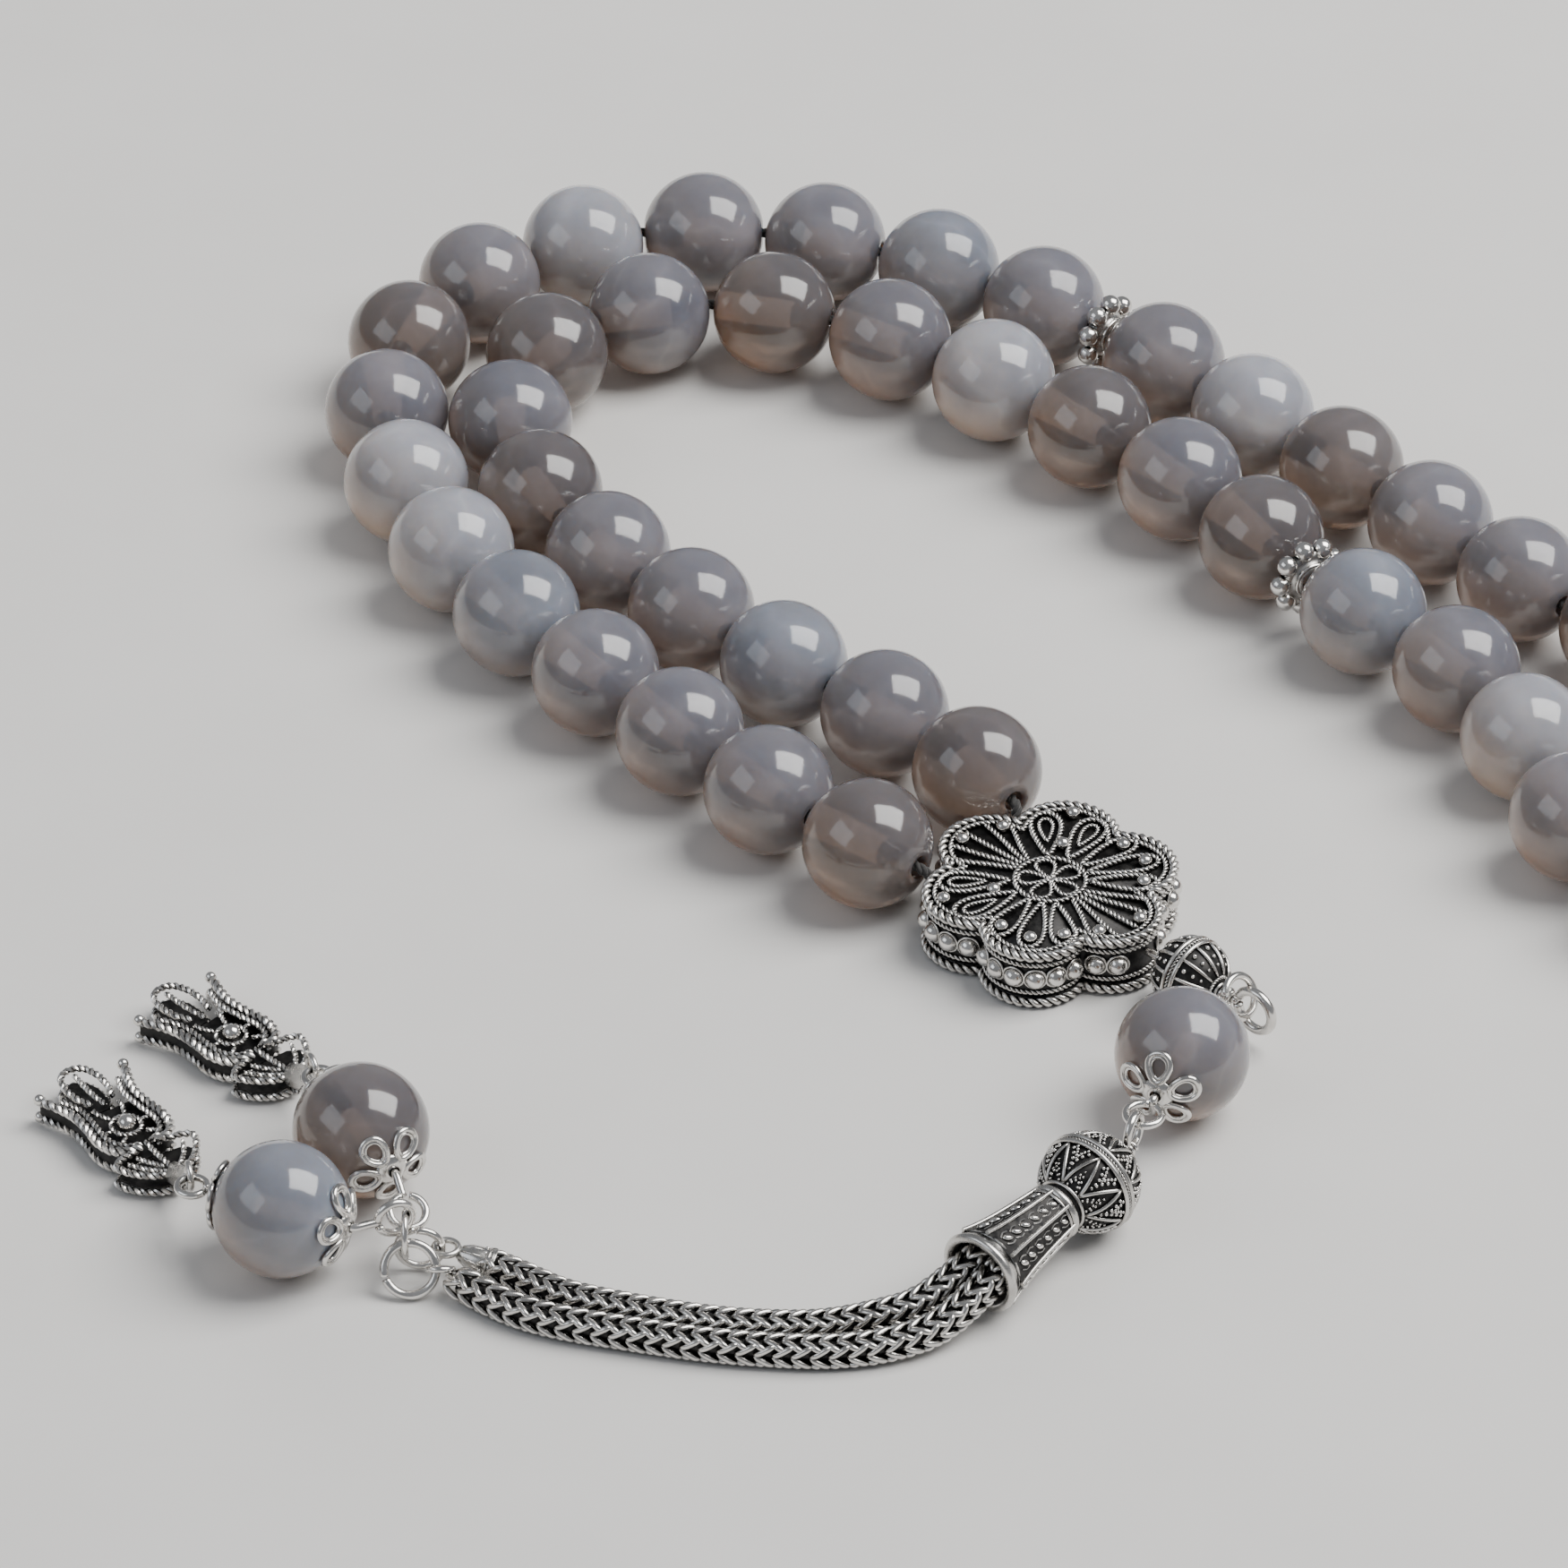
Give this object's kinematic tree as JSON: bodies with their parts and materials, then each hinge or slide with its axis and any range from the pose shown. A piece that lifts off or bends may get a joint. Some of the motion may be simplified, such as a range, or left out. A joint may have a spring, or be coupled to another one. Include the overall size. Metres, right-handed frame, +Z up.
{
  "type": "misbaha prayer beads",
  "caption": "Misbaha: looped strand of agate beads with ball-ringed dividers, filigree six-lobed plaque, pendant bead, belled imame, two foxtail chains and two bead drops with tulip charms.",
  "frame": {"origin": "middle of the plaque's underside, on the surface the piece lies on", "axes": "+Z up from that surface; +Y from the plaque towards the far bend of the bead loop; +X to the side away from the tulip charms"},
  "size_m": [0.1138, 0.1159, 0.008],
  "materials": {
    "agate": "polished translucent grey agate",
    "silver": "bright drawn silver wire",
    "dark_silver": "oxidised silver, bright on the ridges",
    "cord": "twisted dark thread"
  },
  "bodies": {
    "strand_and_plaque": {"cord": "cord", "beads_14_to_32": "agate", "plaque_top": "dark_silver", "plaque_wall": "dark_silver", "plaque_bottom": "dark_silver", "plaque_pin": "silver"},
    "pendant": {"pendant_pin": "silver"},
    "imame": {"imame_wire": "silver", "chain_front": "silver", "chain_back": "silver", "chain_front_link": "silver", "chain_back_cap": "silver"},
    "imame_ball": {"imame_ball": "dark_silver"},
    "imame_bell": {"imame_bell": "dark_silver"},
    "front_ring": {"front_ring": "silver"},
    "back_ring": {"back_ring": "silver"},
    "gather_ring": {"gather_ring": "silver"},
    "front_drop": {"front_drop_pin": "silver"},
    "back_drop": {"back_drop_pin": "silver"},
    "front_tulip": {"front_tulip": "silver"},
    "back_tulip": {"back_tulip": "silver"},
    "pendant_bead": {"pendant_bead": "agate", "pendant_cap": "silver"},
    "front_drop_bead": {"front_drop_bead": "agate", "front_drop_cap": "silver", "front_foot_cap": "silver"},
    "back_drop_bead": {"back_drop_bead": "agate", "back_drop_cap": "silver", "back_foot_cap": "silver"},
    "round_bead": {"round_bead": "dark_silver"},
    "divider_1": {"divider_1": "silver"},
    "divider_2": {"divider_2": "silver"},
    "bead_01": {"bead_01": "agate"},
    "bead_02": {"bead_02": "agate"},
    "bead_03": {"bead_03": "agate"},
    "bead_04": {"bead_04": "agate"},
    "bead_05": {"bead_05": "agate"},
    "bead_06": {"bead_06": "agate"},
    "bead_07": {"bead_07": "agate"},
    "bead_08": {"bead_08": "agate"},
    "bead_09": {"bead_09": "agate"},
    "bead_10": {"bead_10": "agate"},
    "bead_11": {"bead_11": "agate"},
    "bead_12": {"bead_12": "agate"},
    "bead_13": {"bead_13": "agate"},
    "bead_33": {"bead_33": "agate"},
    "bead_34": {"bead_34": "agate"},
    "bead_35": {"bead_35": "agate"},
    "bead_36": {"bead_36": "agate"},
    "bead_37": {"bead_37": "agate"},
    "bead_38": {"bead_38": "agate"},
    "bead_39": {"bead_39": "agate"},
    "bead_40": {"bead_40": "agate"},
    "bead_41": {"bead_41": "agate"},
    "bead_42": {"bead_42": "agate"},
    "bead_43": {"bead_43": "agate"},
    "bead_44": {"bead_44": "agate"},
    "bead_45": {"bead_45": "agate"}
  },
  "joints": [
    {"name": "pendant_swing", "type": "hinge", "parent": "strand_and_plaque", "child": "pendant", "pos_m": [0.01137, -0.01061, 0.00353], "axis": [0.6334, -0.5906, 0.5], "range_deg": [-40, 0]},
    {"name": "imame_swing", "type": "hinge", "parent": "pendant", "child": "imame", "pos_m": [0.00446, -0.02387, 0.004], "axis": [-0.9156, 0.4022, 0], "range_deg": [0, 45]},
    {"name": "front_ring_swing", "type": "hinge", "parent": "imame", "child": "front_ring", "pos_m": [-0.03638, -0.03395, 0.0015], "axis": [0, -0.7986, 0.6018], "range_deg": [-25, 0]},
    {"name": "back_ring_swing", "type": "hinge", "parent": "imame", "child": "back_ring", "pos_m": [-0.03608, -0.0321, 0.00155], "axis": [0, 1, 0], "range_deg": [0, 10]},
    {"name": "gather_swing", "type": "hinge", "parent": "front_ring", "child": "gather_ring", "pos_m": [-0.0374, -0.03305, 0.0027], "axis": [1, 0, 0], "range_deg": [0, 12]},
    {"name": "front_drop_swing", "type": "hinge", "parent": "gather_ring", "child": "front_drop", "pos_m": [-0.0377, -0.0323, 0.00405], "axis": [0, 1, 0], "range_deg": [0, 45]},
    {"name": "back_drop_swing", "type": "hinge", "parent": "gather_ring", "child": "back_drop", "pos_m": [-0.0377, -0.031, 0.00275], "axis": [0, 0, 1], "range_deg": [-30, 4]},
    {"name": "front_tulip_swing", "type": "hinge", "parent": "front_drop", "child": "front_tulip", "pos_m": [-0.05019, -0.0287, 0.004], "axis": [-0.9749, -0.2225, 0], "range_deg": [-30, 0]},
    {"name": "back_tulip_swing", "type": "hinge", "parent": "back_drop", "child": "back_tulip", "pos_m": [-0.04347, -0.01863, 0.004], "axis": [-0.9223, -0.3866, 0], "range_deg": [-30, 0]},
    {"name": "imame_ball_turn", "type": "hinge", "parent": "imame", "child": "imame_ball", "pos_m": [0.0016, -0.028, 0.00307], "axis": [-0.6422, -0.7653, -0.0441], "continuous": true},
    {"name": "imame_bell_turn", "type": "hinge", "parent": "imame", "child": "imame_bell", "pos_m": [-0.00225, -0.03259, 0.00281], "axis": [-0.6422, -0.7653, -0.0441], "continuous": true},
    {"name": "pendant_bead_spin", "type": "hinge", "parent": "pendant", "child": "pendant_bead", "pos_m": [0.0073, -0.0172, 0.004], "axis": [-0.3907, -0.9205, 0], "continuous": true},
    {"name": "front_drop_bead_spin", "type": "hinge", "parent": "front_drop", "child": "front_drop_bead", "pos_m": [-0.0448, -0.0316, 0.004], "axis": [0.9292, -0.3697, 0], "continuous": true},
    {"name": "back_drop_bead_spin", "type": "hinge", "parent": "back_drop", "child": "back_drop_bead", "pos_m": [-0.0405, -0.02435, 0.004], "axis": [0.4711, -0.8821, 0], "continuous": true},
    {"name": "round_bead_spin", "type": "hinge", "parent": "strand_and_plaque", "child": "round_bead", "pos_m": [0.00819, -0.00764, 0.0024], "axis": [0.7314, -0.682, 0], "continuous": true},
    {"name": "divider_1_spin", "type": "hinge", "parent": "strand_and_plaque", "child": "divider_1", "pos_m": [0.00498, 0.05868, 0.004], "axis": [0.7609, -0.6489, 0], "continuous": true},
    {"name": "divider_2_spin", "type": "hinge", "parent": "strand_and_plaque", "child": "divider_2", "pos_m": [0.01681, 0.03124, 0.004], "axis": [-0.5019, 0.8649, 0], "continuous": true},
    {"name": "bead_01_spin", "type": "hinge", "parent": "strand_and_plaque", "child": "bead_01", "pos_m": [-0.01095, 0.00331, 0.004], "axis": [-0.7871, 0.6168, 0], "continuous": true},
    {"name": "bead_02_spin", "type": "hinge", "parent": "strand_and_plaque", "child": "bead_02", "pos_m": [-0.01694, 0.00875, 0.004], "axis": [-0.6896, 0.7241, 0], "continuous": true},
    {"name": "bead_03_spin", "type": "hinge", "parent": "strand_and_plaque", "child": "bead_03", "pos_m": [-0.02237, 0.01475, 0.004], "axis": [-0.6518, 0.7584, 0], "continuous": true},
    {"name": "bead_04_spin", "type": "hinge", "parent": "strand_and_plaque", "child": "bead_04", "pos_m": [-0.02765, 0.0209, 0.004], "axis": [-0.6502, 0.7597, 0], "continuous": true},
    {"name": "bead_05_spin", "type": "hinge", "parent": "strand_and_plaque", "child": "bead_05", "pos_m": [-0.03269, 0.02725, 0.004], "axis": [-0.5926, 0.8055, 0], "continuous": true},
    {"name": "bead_06_spin", "type": "hinge", "parent": "strand_and_plaque", "child": "bead_06", "pos_m": [-0.03694, 0.03414, 0.004], "axis": [-0.4544, 0.8908, 0], "continuous": true},
    {"name": "bead_07_spin", "type": "hinge", "parent": "strand_and_plaque", "child": "bead_07", "pos_m": [-0.04002, 0.04166, 0.004], "axis": [-0.3005, 0.9538, 0], "continuous": true},
    {"name": "bead_08_spin", "type": "hinge", "parent": "strand_and_plaque", "child": "bead_08", "pos_m": [-0.04154, 0.04968, 0.004], "axis": [-0.0725, 0.9974, 0], "continuous": true},
    {"name": "bead_09_spin", "type": "hinge", "parent": "strand_and_plaque", "child": "bead_09", "pos_m": [-0.04034, 0.05769, 0.004], "axis": [0.3617, 0.9323, 0], "continuous": true},
    {"name": "bead_10_spin", "type": "hinge", "parent": "strand_and_plaque", "child": "bead_10", "pos_m": [-0.03597, 0.06453, 0.004], "axis": [0.6959, 0.7181, 0], "continuous": true},
    {"name": "bead_11_spin", "type": "hinge", "parent": "strand_and_plaque", "child": "bead_11", "pos_m": [-0.02926, 0.06907, 0.004], "axis": [0.925, 0.3801, 0], "continuous": true},
    {"name": "bead_12_spin", "type": "hinge", "parent": "strand_and_plaque", "child": "bead_12", "pos_m": [-0.02131, 0.07062, 0.004], "axis": [1, -0.0057, 0], "continuous": true},
    {"name": "bead_13_spin", "type": "hinge", "parent": "strand_and_plaque", "child": "bead_13", "pos_m": [-0.01328, 0.06939, 0.004], "axis": [0.9555, -0.295, 0], "continuous": true},
    {"name": "bead_33_spin", "type": "hinge", "parent": "strand_and_plaque", "child": "bead_33", "pos_m": [0.0036, 0.04781, 0.004], "axis": [-0.7155, 0.6986, 0], "continuous": true},
    {"name": "bead_34_spin", "type": "hinge", "parent": "strand_and_plaque", "child": "bead_34", "pos_m": [-0.00246, 0.05319, 0.004], "axis": [-0.7777, 0.6286, 0], "continuous": true},
    {"name": "bead_35_spin", "type": "hinge", "parent": "strand_and_plaque", "child": "bead_35", "pos_m": [-0.0091, 0.0579, 0.004], "axis": [-0.8499, 0.527, 0], "continuous": true},
    {"name": "bead_36_spin", "type": "hinge", "parent": "strand_and_plaque", "child": "bead_36", "pos_m": [-0.01664, 0.06107, 0.004], "axis": [-0.9703, 0.2418, 0], "continuous": true},
    {"name": "bead_37_spin", "type": "hinge", "parent": "strand_and_plaque", "child": "bead_37", "pos_m": [-0.02482, 0.06093, 0.004], "axis": [-0.9631, -0.2691, 0], "continuous": true},
    {"name": "bead_38_spin", "type": "hinge", "parent": "strand_and_plaque", "child": "bead_38", "pos_m": [-0.03136, 0.05625, 0.004], "axis": [-0.5649, -0.8251, 0], "continuous": true},
    {"name": "bead_39_spin", "type": "hinge", "parent": "strand_and_plaque", "child": "bead_39", "pos_m": [-0.03356, 0.04847, 0.004], "axis": [0.0514, -0.9987, 0], "continuous": true},
    {"name": "bead_40_spin", "type": "hinge", "parent": "strand_and_plaque", "child": "bead_40", "pos_m": [-0.03149, 0.04054, 0.004], "axis": [0.4489, -0.8936, 0], "continuous": true},
    {"name": "bead_41_spin", "type": "hinge", "parent": "strand_and_plaque", "child": "bead_41", "pos_m": [-0.02708, 0.03368, 0.004], "axis": [0.6281, -0.7782, 0], "continuous": true},
    {"name": "bead_42_spin", "type": "hinge", "parent": "strand_and_plaque", "child": "bead_42", "pos_m": [-0.02179, 0.02752, 0.004], "axis": [0.675, -0.7378, 0], "continuous": true},
    {"name": "bead_43_spin", "type": "hinge", "parent": "strand_and_plaque", "child": "bead_43", "pos_m": [-0.01601, 0.02185, 0.004], "axis": [0.7493, -0.6622, 0], "continuous": true},
    {"name": "bead_44_spin", "type": "hinge", "parent": "strand_and_plaque", "child": "bead_44", "pos_m": [-0.00981, 0.01662, 0.004], "axis": [0.7798, -0.626, 0], "continuous": true},
    {"name": "bead_45_spin", "type": "hinge", "parent": "strand_and_plaque", "child": "bead_45", "pos_m": [-0.00425, 0.01069, 0.004], "axis": [0.5778, -0.8162, 0], "continuous": true}
  ]
}
